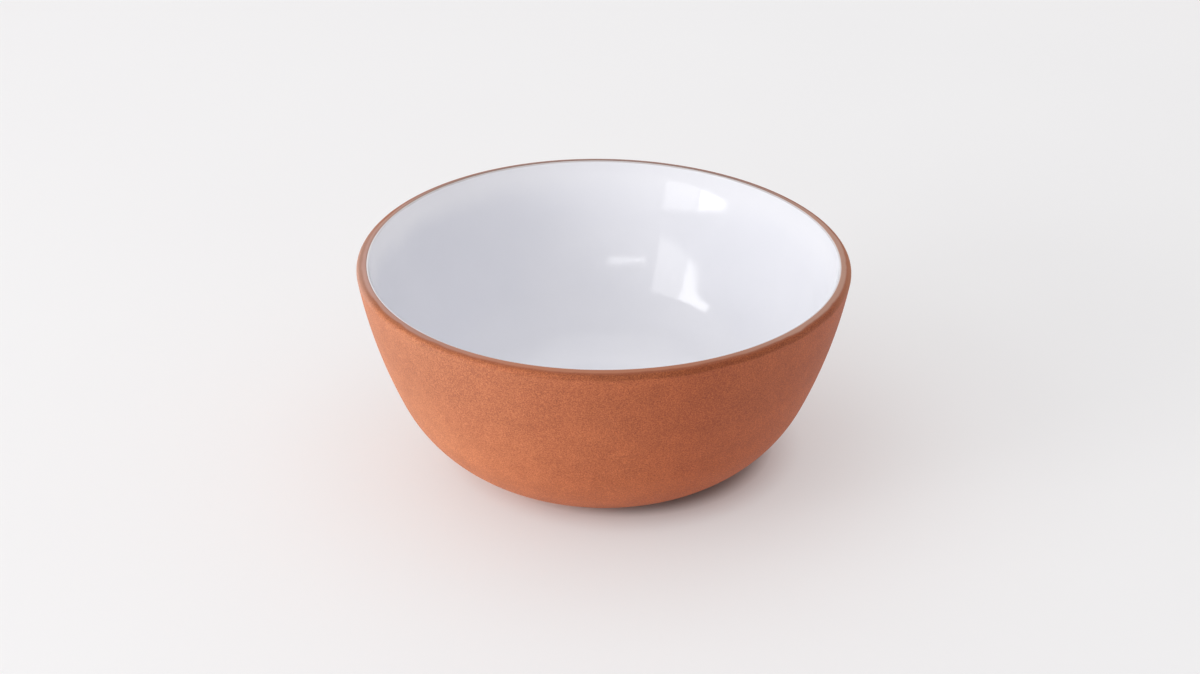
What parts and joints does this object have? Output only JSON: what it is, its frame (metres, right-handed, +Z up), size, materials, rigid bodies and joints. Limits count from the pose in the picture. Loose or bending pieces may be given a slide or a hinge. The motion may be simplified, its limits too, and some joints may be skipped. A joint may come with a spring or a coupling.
{
  "type": "stoneware bowl",
  "caption": "Deep round stoneware bowl with a rounded bare lip, a bare clay outside, a low turned foot ring and a glossy glazed inside.",
  "frame": {"origin": "on the table under the middle of the bowl, in the plane that the foot ring stands on", "axes": "+Z is up, along the bowl's axis of turning, towards the open mouth; X and Y lie in the table, and the bowl is the same all round"},
  "size_m": [0.15, 0.15, 0.0665],
  "materials": {
    "bare_clay": "matte",
    "white_glaze": "gloss"
  },
  "bodies": {
    "root": {"clay_body": "bare_clay", "glaze_lining": "white_glaze"}
  },
  "joints": []
}
